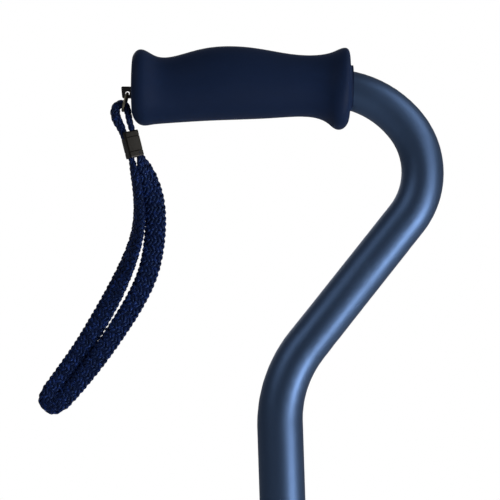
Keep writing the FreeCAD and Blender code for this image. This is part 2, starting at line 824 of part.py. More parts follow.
def make_hub_web():
    """The sloping rib that carries the boss on the block's long axis."""
    high, shoulder = worked_out(HUB_HIGH), worked_out(BOSS_TOP) - size("web_shoulder")
    half_foot = worked_out(HUB_LONG) / 2 - size("web_inset")
    half_boss = worked_out(BOSS_DIA) / 2 - size("web_lip")
    half_thick, root, lip = size("web_thick") / 2, high - size("web_root"), high + size("web_lip")
    edge = [
        (-half_foot, root),
        (half_foot, root),
        (half_foot, lip),
        (half_boss, shoulder),
        (-half_boss, shoulder),
        (-half_foot, lip),
    ]
    corners = [Vector(x, -half_thick, z) for x, z in edge]
    face = Part.Face(Part.makePolygon(corners + corners[:1]))
    return shaped("hub_web", face.extrude(Y_AXIS * (2 * half_thick)))


def make_hub():
    """The cast base hub: a block bored for both leg tubes, with a socket boss for the lower tube."""
    sunk = "%s - dims.boss_root" % HUB_HIGH
    boss = rod("hub_boss", BOSS_DIA, "%s - (%s)" % (BOSS_TOP, sunk), ("0", "0", sunk))
    blank = fuse("hub_blank", make_hub_block(), boss, make_hub_web())
    bolt_across, bolt_from = "dims.bolt_dia + 2 * dims.bolt_slack", ("0", "-" + BOSS_DIA, BOLT_Z)
    tools = [
        rod("hub_socket", LOWER_OD, BOSS_TOP, ("0", "0", SOCKET_FLOOR)),
        rod("hub_drain", "dims.drain_dia", BOSS_TOP),
        rod("hub_bolt_hole", bolt_across, "2 * " + BOSS_DIA, bolt_from, ALONG_Y),
    ]
    for side, sign in (("front", ""), ("rear", "-")):
        bore_at = (sign + CROSSBAR_X, "-dims.hub_deep", "dims.crossbar_z")
        tools.append(rod("hub_leg_bore_" + side, "dims.leg_od", "2 * dims.hub_deep", bore_at, ALONG_Y))
        screw_at = (sign + CROSSBAR_X, "0", HUB_LOW + " - 1")
        tools.append(rod("hub_screw_hole_" + side, "dims.screw_dia", "dims.screw_hole_depth", screw_at))
    tall = "dims.boss_flat_tall"
    for side, y in (("near", "-%s - %s" % (BOSS_FLAT, tall)), ("far", BOSS_FLAT)):
        at = ("-%s / 2" % BOSS_DIA, y, "%s - %s / 2" % (BOLT_Z, tall))
        tools.append(solid("Box", "boss_flat_" + side, at, Length=BOSS_DIA, Width=tall, Height=tall))
    return subpart(cut("hub_cut", blank, *tools), "base_hub")


def leg_points(side):
    """The corners of one leg tube's centre line, from the inner foot over the hub to the outer foot."""
    bar_x, foot_x = side * worked_out(CROSSBAR_X), side * size("foot_x")
    inner, outer = size("foot_inner_y"), -size("foot_outer_y")
    reach, bar_z = size("crossbar_reach"), size("crossbar_z")
    return [
        Vector(foot_x, inner, size("leg_end")),
        Vector(foot_x, inner, size("foot_knee")),
        Vector(bar_x, reach, bar_z),
        Vector(bar_x, -reach, bar_z),
        Vector(foot_x, outer, size("foot_knee")),
        Vector(foot_x, outer, size("leg_end")),
    ]


def make_leg(name, side):
    """One bent tube that makes an inner and an outer leg."""
    points, bend = leg_points(side), size("leg_bend")
    skin = bend_wire(points, [bend] * 4, size("leg_od"))
    bore = bend_wire(points, [bend] * 4, size("leg_od") - 2 * size("leg_wall"))
    tube = shaped(name + "_bent", skin.cut(bore))
    at = ("%d * %s" % (side, CROSSBAR_X), "0", HUB_LOW + " - 1")
    hole = rod(name + "_screw_hole", "dims.screw_dia", "dims.screw_hole_depth", at)
    return subpart(cut(name + "_cut", tube, hole), name + "_leg_tube")


def rib_profile():
    """The sleeve of a tip from the first rib up to its rounded rim."""
    sleeve, crest = SLEEVE_DIA + " / 2", SLEEVE_DIA + " / 2 + dims.tip_rib"
    corners = []
    for step in range(int(size("tip_ribs"))):
        low = "dims.tip_first_rib + %d * dims.tip_rib_pitch" % step
        high = low + " + dims.tip_rib_wide"
        corners.append((sleeve, low + " - dims.tip_edge"))
        corners.append((crest, low))
        corners.append((crest, high))
        corners.append((sleeve, high + " + dims.tip_edge"))
    corners.append((sleeve, "dims.tip_height - dims.tip_edge"))
    corners.append((sleeve + " - dims.tip_edge", "dims.tip_height"))
    return corners


def make_tip(name, x, y):
    """One ribbed rubber tip and the steel disc in it that the leg tube stands on."""
    seat = "dims.leg_end - dims.disc_thick"
    sole = [
        ("0", "dims.sole_hollow"),
        ("dims.sole_hollow_dia / 2", "dims.sole_hollow"),
        ("dims.sole_hollow_dia / 2 + dims.tip_edge", "0"),
        (SOLE_DIA + " / 2 - dims.tip_edge", "0"),
        (SOLE_DIA + " / 2", "dims.tip_edge"),
        (SOLE_DIA + " / 2", "dims.sole_thick"),
        (SOLE_DIA + " / 2 - dims.sole_shoulder", "dims.sole_thick + dims.sole_slope"),
    ]
    pocket = [("dims.leg_od / 2", "dims.tip_height"), ("dims.leg_od / 2", seat), ("0", seat)]
    rubber = turned(name + "_tip_rubber", sole + rib_profile() + pocket)
    subpart(rubber, name + "_tip", (x, y, "0"))
    disc = doc.addObject("PartDesign::Body", name + "_disc")
    sketch = sketch_on(disc, name + "_disc_outline", "XY_Plane")
    circle(sketch, "0", "0", "dims.leg_od - 2 * dims.sliding")
    pad = disc.newObject("PartDesign::Pad", name + "_disc_pad")
    pad.Profile = sketch
    pad.setExpression("Length", "dims.disc_thick")
    subpart(disc, name + "_tip_disc", (x, y, seat))


def hexagon(across):
    """The corners of a hexagon, as expressions, from its width across the flats."""
    radius = "%s / sqrt(3)" % across
    corners = []
    for step in range(6):
        x = "%s * cos(%d deg)" % (radius, 60 * step)
        y = "%s * sin(%d deg)" % (radius, 60 * step) if step % 3 else "0"
        corners.append((x, y))
    return corners


def make_stem_bolt():
    """The hex bolt, nut and washers that hold the lower tube in the hub."""
    seat = "(%s + dims.washer_thick)" % BOSS_FLAT
    head = padded("bolt_head_pad", hexagon("dims.bolt_across"), "dims.bolt_head")
    place(head, ("0", seat, BOLT_Z), ALONG_Y)
    length = "2 * %s + dims.nut_thick + dims.bolt_end" % seat
    shank = rod("bolt_shank", "dims.bolt_dia", length, ("0", seat, BOLT_Z), AGAINST_Y)
    subpart(fuse("bolt", head, shank), "stem_bolt")
    nut = padded("nut_pad", hexagon("dims.bolt_across"), "dims.nut_thick")
    place(nut, ("0", "-" + seat, BOLT_Z), AGAINST_Y)
    bore_at = ("0", "1 - " + seat, BOLT_Z)
    bore = rod("nut_bore", "dims.bolt_dia", "dims.nut_thick + 2", bore_at, AGAINST_Y)
    subpart(cut("bolt_nut", nut, bore), "stem_nut")
    washers = []
    for side, y, turn in (("head", BOSS_FLAT, ALONG_Y), ("nut", "-" + BOSS_FLAT, AGAINST_Y)):
        at = ("0", y, BOLT_Z)
        disc = rod("washer_disc_" + side, "dims.washer_dia", "dims.washer_thick", at, turn)
        across = "dims.bolt_dia + 2 * dims.bolt_slack"
        hole = rod("washer_hole_" + side, across, "dims.washer_thick", at, turn)
        washers.append(cut("washer_" + side, disc, hole))
    subpart(group("washers", *washers), "stem_washers")


def make_leg_screws():
    """The two screws that lock the leg tubes in the hub, driven from below."""
    profile = [
        ("0", "dims.screw_length"),
        ("0", "dims.screw_recess - dims.screw_head"),
        ("dims.screw_recess_dia / 2", "-dims.screw_head"),
        ("dims.screw_head_dia / 2 - 1", "-dims.screw_head"),
        ("dims.screw_head_dia / 2", "-dims.screw_head / 2"),
        ("dims.screw_head_dia / 2", "0"),
        ("dims.screw_dia / 2", "0"),
        ("dims.screw_dia / 2", "dims.screw_length - dims.screw_point"),
    ]
    screws = []
    for side, sign in (("front", ""), ("rear", "-")):
        screw = turned(side + "_screw", profile)
        place(screw, (sign + CROSSBAR_X, "0", HUB_LOW))
        screws.append(screw)
    subpart(group("leg_screw_pair", *screws), "leg_screws")


# ---------------------------------------------------------------- assembly

upper_tube = make_upper_tube()
make_grip()
make_end_plug()
make_ring()
make_cord()
make_crimp()
make_collet()
make_lock_nut()
make_lower_tube()
make_glide()
make_button()
make_spring()
make_hub()
for end, side in (("front", 1), ("rear", -1)):
    make_leg(end, side)
    for reach, y in (("inner", "dims.foot_inner_y"), ("outer", "-dims.foot_outer_y")):
        make_tip("%s_%s" % (end, reach), "%d * dims.foot_x" % side, y)
make_stem_bolt()
make_leg_screws()
doc.recompute()

# The origin: the middle of the box that the bend and the soles reach, on the floor.
sole = worked_out(SOLE_DIA) / 2
front = max(upper_tube.Shape.optimalBoundingBox(False, False).XMax, size("foot_x") + sole)
back = -size("foot_x") - sole
origin = {
    "origin_x": -(front + back) / 2,
    "origin_y": (size("foot_outer_y") - size("foot_inner_y")) / 2,
}
for row, (alias, number) in enumerate(origin.items(), start=len(DIMENSIONS) + 1):
    dims.set("A%d" % row, alias)
    dims.set("B%d" % row, "%.4f" % number)
    dims.setAlias("B%d" % row, alias)
doc.recompute()
for thing, (x, y, z), turn in subparts:
    place(thing, ("dims.origin_x + (%s)" % x, "dims.origin_y + (%s)" % y, z), turn)
doc.recompute()

# ---------------------------------------------------------------- checks and output

for thing in doc.Objects:
    if "Invalid" in thing.State or "Error" in thing.State:
        raise RuntimeError("%s is in state %s" % (thing.Name, thing.State))
for thing, _, _ in subparts:
    if thing.Shape.isNull() or not thing.Shape.isValid() or not thing.Shape.Solids:
        raise RuntimeError("%s has no valid shape" % thing.Label)
for thing, _, _ in subparts:
    thing.Shape.exportStep("parts/%s.step" % thing.Label)
    print("%-18s %9.1f mm3  solids %d" % (thing.Label, thing.Shape.Volume, len(thing.Shape.Solids)))

turn_axes = {
    "strap ring hinge": lug_hole,
    "strap swing centre": ring_centre,
    "grip end": grip_origin,
    "origin shift": Vector(size("origin_x"), size("origin_y"), 0),
}
for name, point in turn_axes.items():
    print("%s about the shaft: %.3f %.3f %.3f" % (name, point.x, point.y, point.z))
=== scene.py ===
"""Looks for the quad walking cane: node materials, braided wrist cord, crimp, studio and camera.

All lengths are in metres and in the CAD model's frame. Places come from the frame; "about the shaft" means
measured from the shaft's axis, with the handle's plane as Y = 0.
"""
import json
import math

import bpy
import numpy as np
from mathutils import Matrix, Vector


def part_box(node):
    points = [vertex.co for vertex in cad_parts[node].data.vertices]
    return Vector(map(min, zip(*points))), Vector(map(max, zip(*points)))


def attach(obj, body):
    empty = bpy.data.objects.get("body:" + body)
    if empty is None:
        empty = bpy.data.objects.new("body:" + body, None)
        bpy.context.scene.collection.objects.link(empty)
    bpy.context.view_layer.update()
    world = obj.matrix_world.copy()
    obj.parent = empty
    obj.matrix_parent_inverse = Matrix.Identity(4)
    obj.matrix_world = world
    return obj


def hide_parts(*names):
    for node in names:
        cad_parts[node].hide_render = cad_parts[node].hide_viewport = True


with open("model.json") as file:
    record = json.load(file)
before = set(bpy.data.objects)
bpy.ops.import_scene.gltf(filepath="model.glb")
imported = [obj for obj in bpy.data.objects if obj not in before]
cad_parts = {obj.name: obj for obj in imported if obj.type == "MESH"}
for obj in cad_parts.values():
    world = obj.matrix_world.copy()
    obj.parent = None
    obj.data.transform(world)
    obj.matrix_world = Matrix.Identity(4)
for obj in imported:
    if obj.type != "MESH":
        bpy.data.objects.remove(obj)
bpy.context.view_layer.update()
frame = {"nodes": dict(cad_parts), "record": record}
nodes = frame["nodes"]

lowest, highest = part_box("lower_tube")
SHAFT_X = (lowest.x + highest.x) / 2
SHAFT_Y = (lowest.y + highest.y) / 2
SHAFT_TOP = 0.525


def from_shaft(x, y, above):
    """A point given about the shaft, its height measured from the top of the straight shaft."""
    return Vector((SHAFT_X + x, SHAFT_Y + y, SHAFT_TOP + above))


LUG_HOLE = from_shaft(-0.07846, 0.0, 0.18631)
RANGE_SOCKETS = ("From Min", "From Max", "To Min", "To Max")


def placed(name, data):
    """A new object that holds the data, linked into the scene."""
    thing = bpy.data.objects.new(name, data)
    bpy.context.scene.collection.objects.link(thing)
    return thing


# ---------------------------------------------------------------- node materials

class Shader:
    """A material's node tree, with a short method for each kind of node that the materials use."""

    def __init__(self, name, colour, metallic=0.0, roughness=0.5, **sockets):
        self.material = bpy.data.materials.new(name)
        self.material.use_nodes = True
        self.tree = self.material.node_tree
        self.surface = self.tree.nodes["Principled BSDF"]
        self.set("Base Color", (*colour, 1.0))
        self.set("Metallic", metallic)
        self.set("Roughness", roughness)
        for socket, value in sockets.items():
            self.set(socket.replace("_", " "), value)
        coordinates = self.add("ShaderNodeTexCoord")
        self.place = coordinates.outputs["Object"]
        self.flat = coordinates.outputs["UV"]

    def set(self, socket, value):
        """Gives one of the surface's own sockets a value, or joins it to an output."""
        if isinstance(value, bpy.types.NodeSocket):
            self.tree.links.new(value, self.surface.inputs[socket])
        else:
            self.surface.inputs[socket].default_value = value

    def add(self, kind, **inputs):
        """A node of that kind; each input is a value or another node's output."""
        node = self.tree.nodes.new(kind)
        for name, value in inputs.items():
            socket = node.inputs[name.replace("_", " ")]
            if isinstance(value, bpy.types.NodeSocket):
                self.tree.links.new(value, socket)
            else:
                socket.default_value = value
        return node

    def stretched(self, scale, turn=(0.0, 0.0, 0.0), source=None):
        """Coordinates scaled and turned."""
        node = self.add("ShaderNodeMapping", Vector=source or self.place, Scale=scale, Rotation=turn)
        return node.outputs["Vector"]

    def noise(self, scale, detail=3.0, roughness=0.55, source=None):
        """Soft noise from 0 to 1; scale is features per metre."""
        node = self.add("ShaderNodeTexNoise", Vector=source or self.place, Scale=scale, Detail=detail)
        node.inputs["Roughness"].default_value = roughness
        return node.outputs["Fac"]

    def cells(self, scale, source=None):
        """Distance to the nearest cell centre."""
        node = self.add("ShaderNodeTexVoronoi", Vector=source or self.place, Scale=scale)
        return node.outputs["Distance"]

    def remap(self, value, low, high, new_low, new_high):
        """The value moved from one range to another, and kept inside it."""
        node = self.add("ShaderNodeMapRange", Value=value)
        for socket, number in zip(RANGE_SOCKETS, (low, high, new_low, new_high)):
            node.inputs[socket].default_value = number
        return node.outputs["Result"]

    def maths(self, operation, first, second=0.0):
        """One arithmetic step."""
        node = self.tree.nodes.new("ShaderNodeMath")
        node.operation = operation
        for socket, value in zip(node.inputs, (first, second)):
            if isinstance(value, bpy.types.NodeSocket):
                self.tree.links.new(value, socket)
            else:
                socket.default_value = value
        return node.outputs["Value"]

    def mixed(self, share, first, second):
        """A colour between two, by share."""
        node = self.tree.nodes.new("ShaderNodeMix")
        node.data_type = "RGBA"
        for index, value in ((0, share), (6, first), (7, second)):
            if isinstance(value, bpy.types.NodeSocket):
                self.tree.links.new(value, node.inputs[index])
            elif index == 0:
                node.inputs[index].default_value = value
            else:
                node.inputs[index].default_value = (*value, 1.0)
        return node.outputs[2]

    def bump(self, height, depth, strength=1.0):
        """Adds relief of that depth to the surface."""
        node = self.add("ShaderNodeBump", Height=height, Distance=depth, Strength=strength)
        earlier = self.surface.inputs["Normal"]
        if earlier.is_linked:
            self.tree.links.new(earlier.links[0].from_socket, node.inputs["Normal"])
        self.set("Normal", node.outputs["Normal"])

    def split(self, source=None):
        """The three parts of the coordinates."""
        return self.add("ShaderNodeSeparateXYZ", Vector=source or self.place).outputs


def anodised_tube():
    """Satin blue anodised aluminium: faint drawing lines, soft patches and small scuffs."""
    look = Shader("anodised_tube", (0.060, 0.104, 0.200), metallic=0.92, roughness=0.46)
    patches = look.noise(14.0, 2.0)
    grain = look.noise(900.0, 2.0)
    streaks = look.noise(55.0, 6.0, 0.75, look.stretched((1.0, 1.0, 0.25)))
    scuffs = look.remap(streaks, 0.66, 0.74, 0.0, 1.0)
    body = look.mixed(patches, (0.057, 0.098, 0.190), (0.064, 0.110, 0.210))
    look.set("Base Color", look.mixed(look.maths("MULTIPLY", scuffs, 0.25), body, (0.11, 0.17, 0.28)))
    satin = look.remap(patches, 0.3, 0.7, 0.44, 0.49)
    look.set("Roughness", look.maths("ADD", satin, look.maths("MULTIPLY", scuffs, 0.12)))
    look.bump(grain, 0.00002, 0.35)
    return look.material


def grip_rubber():
    """Matt soft rubber with a fine moulded stipple and a faint parting line round the handle's plane."""
    look = Shader("grip_rubber", (0.004, 0.010, 0.032), roughness=0.62)
    look.set("Sheen Weight", 0.05)
    look.set("Sheen Roughness", 0.45)
    look.set("Sheen Tint", (0.35, 0.5, 0.9, 1.0))
    look.set("Specular IOR Level", 0.12)
    clouds = look.noise(28.0, 4.0, 0.6)
    stipple = look.noise(2600.0, 2.0, 0.5)
    dust = look.remap(look.noise(420.0, 5.0, 0.8), 0.70, 0.78, 0.0, 1.0)
    body = look.mixed(clouds, (0.0034, 0.0112, 0.038), (0.0046, 0.0145, 0.050))
    look.set("Base Color", look.mixed(look.maths("MULTIPLY", dust, 0.10), body, (0.03, 0.05, 0.10)))
    look.set("Roughness", look.remap(clouds, 0.3, 0.7, 0.55, 0.66))
    look.bump(stipple, 0.00006, 0.5)
    across = look.maths("ABSOLUTE", look.maths("SUBTRACT", look.split()["Y"], SHAFT_Y))
    look.bump(look.remap(across, 0.0, 0.00035, 1.0, 0.0), 0.00018, 0.8)
    return look.material


def moulded_plastic(name, dark, light, roughness):
    """Moulded plastic with a spark-eroded texture and slight flow marks."""
    look = Shader(name, dark, roughness=roughness)
    flow = look.noise(60.0, 4.0, 0.6, look.stretched((1.0, 1.0, 0.3)))
    look.set("Base Color", look.mixed(flow, dark, light))
    look.set("Roughness", look.remap(flow, 0.3, 0.7, roughness - 0.06, roughness + 0.08))
    look.bump(look.noise(3200.0, 2.0), 0.00005, 0.45)
    return look.material


def drawn_metal(name, dark, light, roughness, grain=(1.0, 1.0, 12.0)):
    """Bare or plated metal with fine lines along one direction and cloudy tarnish."""
    look = Shader(name, dark, metallic=1.0, roughness=roughness)
    lines = look.noise(1500.0, 3.0, 0.6, look.stretched([1.0 / share for share in grain]))
    clouds = look.noise(90.0, 5.0, 0.7)
    look.set("Base Color", look.mixed(clouds, dark, light))
    look.set("Roughness", look.remap(lines, 0.3, 0.7, roughness - 0.07, roughness + 0.09))
    look.bump(lines, 0.00002, 0.5)
    return look.material


def powder_coat(name, dark, light):
    """Powder coat: a low orange peel with fine specks."""
    look = Shader(name, dark, roughness=0.42)
    look.set("Coat Weight", 0.25)
    look.set("Coat Roughness", 0.3)
    peel = look.noise(700.0, 2.0, 0.4)
    specks = look.remap(look.cells(1900.0), 0.06, 0.14, 1.0, 0.0)
    look.set("Base Color", look.mixed(look.maths("MULTIPLY", specks, 0.35), dark, light))
    look.set("Roughness", look.remap(peel, 0.3, 0.7, 0.36, 0.5))
    look.bump(peel, 0.00008, 0.5)
    return look.material


def tip_rubber():
    """Moulded black rubber, greyer and dustier towards the floor."""
    look = Shader("tip_rubber", (0.018, 0.018, 0.019), roughness=0.72)
    grit = look.noise(600.0, 6.0, 0.8)
    height = look.split()["Z"]
    near_floor = look.remap(height, 0.0, 0.012, 1.0, 0.0)
    floor_dust = look.maths("MULTIPLY", near_floor, look.remap(grit, 0.45, 0.65, 0.0, 1.0))
    body = look.mixed(look.noise(45.0, 4.0), (0.014, 0.014, 0.015), (0.026, 0.026, 0.027))
    look.set("Base Color", look.mixed(look.maths("MULTIPLY", floor_dust, 0.6), body, (0.13, 0.125, 0.115)))
    look.set("Roughness", look.remap(grit, 0.3, 0.7, 0.64, 0.82))
    look.bump(grit, 0.00008, 0.5)
    return look.material


def braid_yarn():
    """Dark navy filament yarn: fine fibres along each end, with painted highlights: small random flecks of
    brighter blue painted in as the yarn's glints.
    """
    look = Shader("braid_yarn", (0.008, 0.012, 0.05), roughness=0.42)
    look.set("Sheen Weight", 0.15)
    look.set("Sheen Roughness", 0.35)
    look.set("Sheen Tint", (0.25, 0.35, 1.0, 1.0))
    look.set("Specular IOR Level", 0.3)
    look.set("Specular Tint", (0.25, 0.45, 1.0, 1.0))
    fibre = look.noise(1.0, 3.0, 0.6, look.stretched((9.0, 1400.0, 1.0), (0.0, 0.0, 0.02), look.flat))
    tone = look.add("ShaderNodeAttribute")
    tone.attribute_name = "tone"
    # Painted highlight: random flecks where the colour turns to a brighter blue, painted in as glints off
    # the filament yarn.
    painted_glints = look.remap(look.noise(520.0, 2.0, 0.6), 0.52, 0.66, 0.0, 1.0)
    dark = look.mixed(tone.outputs["Fac"], (0.0016, 0.0034, 0.017), (0.0030, 0.0072, 0.036))
    # The colour of the painted glints: brighter blues along the fibres.
    bright = look.mixed(fibre, (0.006, 0.017, 0.10), (0.020, 0.055, 0.27))
    look.set("Base Color", look.mixed(look.maths("MULTIPLY", painted_glints, 0.55), dark, bright))
    look.set("Roughness", look.remap(fibre, 0.3, 0.7, 0.34, 0.55))
    look.bump(fibre, 0.00008, 0.7)
    return look.material


# ---------------------------------------------------------------- the wrist cord

# The cord's route: (X, Y, up) from the lug's hole. It follows the CAD solid's route, with points moved by
# a millimetre or so. It starts in the crimp, makes the eye through the ring, goes down the wrist
# loop and comes back up into the crimp.
CORD_ROUTE = [
    (0.0040, 0.0, -0.0274),
    (0.0006, 0.0, -0.0168),
    (-0.0005, 0.0, -0.0059),
    (-0.0064, 0.0, -0.0059),
    (-0.0075, 0.0, -0.0123),
    (-0.0035, 0.0, -0.0198),
    (0.0009, 0.0, -0.0350),
    (0.0036, -0.0008, -0.0493),
    (0.0048, -0.0012, -0.0653),
    (0.0031, -0.0010, -0.0788),
    (-0.0025, 0.0, -0.0938),
    (-0.0105, 0.0, -0.1098),
    (-0.0195, 0.0006, -0.1248),
    (-0.0294, 0.0010, -0.1401),
    (-0.0413, 0.0008, -0.1555),
    (-0.0517, 0.0, -0.1681),
    (-0.0454, 0.0, -0.1730),
    (-0.0340, -0.0008, -0.1611),
    (-0.0215, -0.0010, -0.1463),
    (-0.0101, -0.0006, -0.1310),
    (0.0002, 0.0, -0.1158),
    (0.0082, 0.0, -0.1005),
    (0.0120, 0.0006, -0.0848),
    (0.0134, 0.0012, -0.0693),
    (0.0123, 0.0012, -0.0568),
    (0.0087, 0.0008, -0.0443),
    (0.0058, 0.0, -0.0347),
    (0.0041, 0.0, -0.0278),
]

# The flat braid's shape along the route: share of its length, half width, half thickness, and how far it is
# turned about its own run, where 0 faces the side view and 90 shows its edge.
CORD_SECTIONS = [
    (0.00, 0.0026, 0.0016, 90),
    (0.02, 0.0028, 0.0018, 90),
    (0.045, 0.0038, 0.0020, 90),
    (0.07, 0.0036, 0.0027, 90),
    (0.09, 0.0038, 0.0029, 90),
    (0.108, 0.0033, 0.0024, 90),
    (0.125, 0.0026, 0.0016, 90),
    (0.150, 0.0026, 0.0016, 90),
    (0.175, 0.0042, 0.0026, 76),
    (0.24, 0.0053, 0.0028, 60),
    (0.30, 0.0056, 0.0026, 44),
    (0.36, 0.0056, 0.0024, 20),
    (0.42, 0.0055, 0.0022, 4),
    (0.50, 0.0053, 0.0022, 0),
    (0.54, 0.0050, 0.0024, 0),
    (0.56, 0.0048, 0.0026, 0),
    (0.58, 0.0050, 0.0024, 0),
    (0.64, 0.0053, 0.0022, 0),
    (0.74, 0.0057, 0.0022, 0),
    (0.84, 0.0059, 0.0022, 0),
    (0.92, 0.0060, 0.0023, 4),
    (0.95, 0.0056, 0.0024, 20),
    (0.970, 0.0044, 0.0024, 50),
    (0.985, 0.0027, 0.0017, 86),
    (1.00, 0.0026, 0.0016, 90),
]
LINE_STEPS = 16             # points on the spline for each point of the route
SAMPLES_PER_CROSSING = 6

CARRIERS = 5                # yarns that wind each way
BRAID_PITCH = 0.0300        # run in which a yarn winds once round
WEAVE_LIFT = 0.00055        # how far a yarn rises over, and sinks under, the ones it crosses
YARN_THICK = 0.0013
YARN_FILL = 0.96            # a yarn's width as a share of its room
YARN_SIDES = 6
PLY_HALF_WIDE = 0.27        # as a share of the yarn's width
PLY_TONE = 0.12             # how much lighter and darker than their yarn the two plies are
CORE_SIDES = 20
CORE_STEP = 3               # samples from one ring of the core to the next

SPACING_OVAL = (4.6, 1.5)   # proportions of the oval round which the yarns keep even distances
SPACING_POINTS = 721
FOLD_ROOM = 0.9             # share of a bend's radius that the section's inner side may fill
LEAST_BEND = 1e-6           # keeps a straight stretch from dividing by nothing


def spline_line(name, route, steps):
    """Points along the NURBS spline that has the route's points as its control points."""
    curve = bpy.data.curves.new(name, "CURVE")
    curve.dimensions = "3D"
    curve.resolution_u = steps
    spline = curve.splines.new("NURBS")
    spline.points.add(len(route) - 1)
    for point, at in zip(spline.points, route):
        point.co = (*(LUG_HOLE + Vector(at)), 1.0)
    spline.order_u = 3
    spline.use_endpoint_u = True
    holder = bpy.data.objects.new(name, curve)
    mesh = bpy.data.meshes.new_from_object(holder)
    line = np.array([vertex.co[:] for vertex in mesh.vertices])
    bpy.data.meshes.remove(mesh)
    bpy.data.objects.remove(holder)
    bpy.data.curves.remove(curve)
    return line


def distances(line):
    """How far along the line each of its points is."""
    steps = np.linalg.norm(np.diff(line, axis=0), axis=1)
    return np.concatenate([[0.0], np.cumsum(steps)])


def evenly(line, count):
    """The line again, as count points at even steps."""
    along = distances(line)
    at = np.linspace(0.0, along[-1], count)
    return np.stack([np.interp(at, along, line[:, k]) for k in range(3)], axis=1)


def unit(vectors):
    """The vectors at length 1."""
    return vectors / np.linalg.norm(vectors, axis=-1, keepdims=True)


def smooth(values, width):
    """A running mean along the first axis, with the ends held."""
    padded = np.concatenate([values[:1]] * width + [values] + [values[-1:]] * width)
    kernel = np.ones(2 * width + 1) / (2 * width + 1)
    if values.ndim == 1:
        return np.convolve(padded, kernel, "valid")
    return np.stack([np.convolve(padded[:, k], kernel, "valid") for k in range(values.shape[1])], axis=1)


def table_at(share, table, column):
    """Values from one column of a table whose first column is the share, smoothed over a short run."""
    rows = np.array(table)
    return smooth(np.interp(share, rows[:, 0], rows[:, column]), max(2, len(share) // 120))


class BraidBed:
    """The surface that the braid's yarns lie on: an oval section that changes and turns along a line."""

    def __init__(self, line, sections):
        share = np.linspace(0.0, 1.0, len(line))
        self.line = line
        tangent = unit(smooth(np.gradient(line, axis=0), 3))
        sideways = np.array([0.0, 1.0, 0.0]) - tangent[:, 1:2] * tangent
        self.over = unit(sideways)
        self.inplane = np.cross(self.over, tangent)
        step = np.linalg.norm(np.diff(line, axis=0), axis=1).mean()
        bending = np.gradient(tangent, axis=0) / step
        self.curvature = smooth(np.einsum("ij,ij->i", bending, self.inplane), 3)
        self.half_wide = table_at(share, sections, 1)
        self.half_thick = table_at(share, sections, 2)
        self.turn = np.radians(table_at(share, sections, 3))
        self.angles = np.linspace(0.0, 2 * np.pi, SPACING_POINTS)
        wide, thick = SPACING_OVAL
        run = distances(np.stack([wide * np.cos(self.angles), thick * np.sin(self.angles)], axis=1))
        self.shares = run / run[-1]

    def angle(self, share):
        """The angle at a share of the way round the section, where equal shares are equal distances."""
        return np.interp(share % 1.0, self.shares, self.angles)

    def point(self, index, share, lift):
        """Points at line samples and shares of the way round, raised by lift, and their outward directions.

        On the inner side of a tight bend the section is squeezed, so that it doesn't fold over.
        """
        angle = self.angle(share)
        inset = YARN_THICK / 2 + WEAVE_LIFT
        wide, thick = self.half_wide[index] - inset, self.half_thick[index] - inset
        outwards = unit(np.stack([thick * np.cos(angle), wide * np.sin(angle)], axis=-1))
        wide_part = wide * np.cos(angle) + outwards[..., 0] * lift
        thick_part = thick * np.sin(angle) + outwards[..., 1] * lift
        cos, sin = np.cos(self.turn[index]), np.sin(self.turn[index])
        inplane = wide_part * cos - thick_part * sin
        over = wide_part * sin + thick_part * cos
        bend = np.abs(self.curvature[index]) + LEAST_BEND
        inwards = inplane * np.sign(self.curvature[index]) > 0
        room = FOLD_ROOM / bend
        inplane = np.where(inwards, room * np.tanh(inplane / room), inplane)
        axis_in, axis_over = self.inplane[index], self.over[index]
        at = self.line[index] + axis_in * inplane[..., None] + axis_over * over[..., None]
        out_in = outwards[..., 0] * cos - outwards[..., 1] * sin
        out_over = outwards[..., 0] * sin + outwards[..., 1] * cos
        return at, axis_in * out_in[..., None] + axis_over * out_over[..., None]

    def girth(self):
        """The way round the section at each sample, by Ramanujan's formula for an ellipse."""
        wide, thick = self.half_wide, self.half_thick
        return np.pi * (3 * (wide + thick) - np.sqrt((3 * wide + thick) * (wide + 3 * thick)))

    def yarn_width(self):
        """How wide a yarn is at each sample, where the yarns of one way lie side by side."""
        girth = self.girth()
        lean = np.arctan2(girth, BRAID_PITCH)
        return smooth(girth / CARRIERS * np.cos(lean), 6) * YARN_FILL


class Tubes:
    """Capped tubes gathered into one mesh, with the way round and along each one for its texture."""

    def __init__(self):
        self.count = 0
        self.corners = []
        self.polygons = []
        self.flat = []
        self.tones = []

    def add(self, rings, run, tone):
        """Adds a tube through rings of points, shaped (rings, sides, 3), each so far along the run."""
        count, sides = rings.shape[:2]
        grid = self.count + np.arange(count * sides).reshape(count, sides)
        beside = np.roll(grid, -1, axis=1)
        quads = np.stack([grid[:-1], beside[:-1], beside[1:], grid[1:]], axis=-1).reshape(-1, 4)
        around = np.arange(sides) / sides
        low = np.stack(np.broadcast_arrays(around[None, :], run[:-1, None]), axis=-1)
        high = np.stack(np.broadcast_arrays(around[None, :], run[1:, None]), axis=-1)
        step = np.array([1 / sides, 0.0])
        self.count += count * sides
        self.corners.append(rings.reshape(-1, 3))
        self.polygons += quads.tolist() + [grid[0, ::-1].tolist(), grid[-1].tolist()]
        self.flat.append(np.stack([low, low + step, high + step, high], axis=2).reshape(-1, 2))
        self.flat.append(np.zeros((2 * sides, 2)))
        self.tones.append(np.full(count * sides, tone))

    def piece(self, name):
        """One mesh object of all the tubes."""
        mesh = bpy.data.meshes.new(name)
        mesh.from_pydata(np.concatenate(self.corners).tolist(), [], self.polygons)
        layer = mesh.uv_layers.new(name="fibre")
        layer.data.foreach_set("uv", np.concatenate(self.flat).astype(np.float32).ravel())
        tone = mesh.attributes.new("tone", "FLOAT", "POINT")
        tone.data.foreach_set("value", np.concatenate(self.tones).astype(np.float32))
        mesh.shade_smooth()
        return placed(name, mesh)


